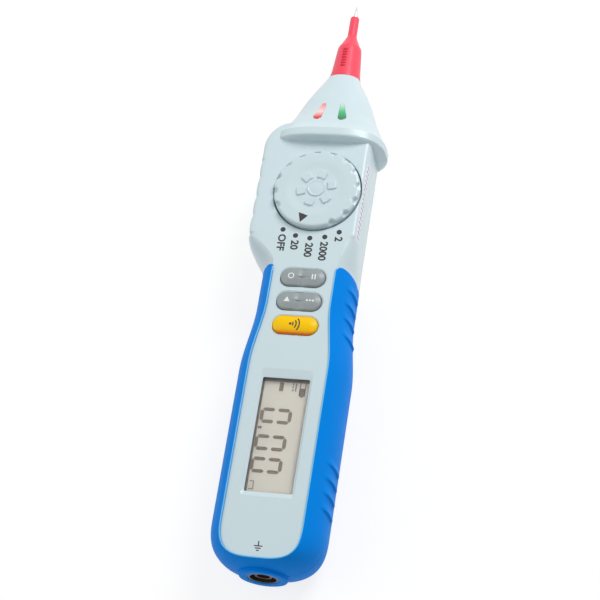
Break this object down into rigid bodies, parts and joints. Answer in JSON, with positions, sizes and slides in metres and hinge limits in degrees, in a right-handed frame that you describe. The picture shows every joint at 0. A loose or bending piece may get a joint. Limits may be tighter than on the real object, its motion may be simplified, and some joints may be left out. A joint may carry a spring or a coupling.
{
  "type": "pen multimeter",
  "caption": "Pen-shaped digital multimeter with range dial, rocker keys, display, finger guard, pull-off tip guard and lead socket",
  "frame": {"origin": "on the flat back, under the probe axis, half way between the socket collar and the needle point", "axes": "+Z out of the display face, +Y along the probe toward the needle, +X to the right of the display face"},
  "size_m": [0.04, 0.208, 0.029],
  "materials": {
    "pale_shell": "satin moulded plastic, pale green-grey",
    "blue_grip": "soft blue overmould, satin",
    "window": "clear polished plastic",
    "lcd": "warm grey display film",
    "white_plastic": "plain moulded plastic",
    "grey_key": "satin grey key plastic",
    "yellow_key": "glossy yellow key plastic",
    "silicone": "translucent silicone",
    "dark_plastic": "black moulded plastic",
    "board": "green solder mask",
    "red_plastic": "glossy red plastic",
    "red_lens": "clear red plastic",
    "green_lens": "clear green plastic",
    "steel": "bright plated steel",
    "brass": "plain brass",
    "copper": "bare copper",
    "cell_wrap": "printed cell wrap, plain",
    "elastomer": "striped conductive rubber",
    "fuse_glass": "glass tube with plated caps"
  },
  "bodies": {
    "case": {"front_housing": "pale_shell", "rear_housing": "pale_shell", "front_grip": "blue_grip", "rear_grip": "blue_grip", "display_window": "window", "lcd_panel": "lcd", "lcd_carrier": "white_plastic", "zebra_strips": "elastomer", "circuit_board": "board", "measuring_chip": "dark_plastic", "buzzer": "dark_plastic", "fuse": "fuse_glass", "fuse_clips": "brass", "key_mat": "silicone", "key_switches": "steel", "detent_ring": "white_plastic", "red_lens": "red_lens", "green_lens": "green_lens", "red_led": "red_plastic", "green_led": "green_lens", "sensing_antenna": "copper", "probe_holder": "dark_plastic", "needle_sleeve": "brass", "probe_needle": "steel", "probe_contact": "brass", "socket_contact": "brass", "socket_insulator": "dark_plastic", "battery_cells": "cell_wrap", "battery_springs": "steel", "battery_plates": "steel", "case_screws": "steel"},
    "dial": {"range_dial": "pale_shell", "dial_rotor": "white_plastic", "rotor_contacts": "brass", "detent_balls": "steel", "detent_springs": "steel", "dial_screw": "steel"},
    "upper_rocker": {"upper_key": "grey_key"},
    "lower_rocker": {"lower_key": "grey_key"},
    "yellow_key": {"sensing_key": "yellow_key"},
    "guard": {"tip_guard": "red_plastic"},
    "battery_door": {"battery_cover": "pale_shell", "cover_screws": "steel"}
  },
  "joints": [
    {"name": "dial_turn", "type": "hinge", "parent": "case", "child": "dial", "pos_m": [0, 0.0231, 0.0252], "axis": [0, 0, 1], "range_deg": [-16.14, 48.42]},
    {"name": "upper_key_tilt", "type": "hinge", "parent": "case", "child": "upper_rocker", "pos_m": [0, -0.00845, 0.0217], "axis": [0, 1, 0], "range_deg": [-2, 2], "stiffness_Nm_per_rad": 0.05},
    {"name": "lower_key_tilt", "type": "hinge", "parent": "case", "child": "lower_rocker", "pos_m": [0, -0.0168, 0.0217], "axis": [0, 1, 0], "range_deg": [-2, 2], "stiffness_Nm_per_rad": 0.05},
    {"name": "yellow_key_press", "type": "slide", "parent": "case", "child": "yellow_key", "axis": [0, 0, -1], "range_m": [0, 0.0005], "stiffness_N_per_m": 800, "springref_m": -0.0005},
    {"name": "tip_guard_pull", "type": "slide", "parent": "case", "child": "guard", "axis": [0, 1, 0], "range_m": [0, 0.034]},
    {"name": "battery_cover_lift", "type": "slide", "parent": "case", "child": "battery_door", "axis": [0, 0, -1], "range_m": [0, 0.03]}
  ]
}
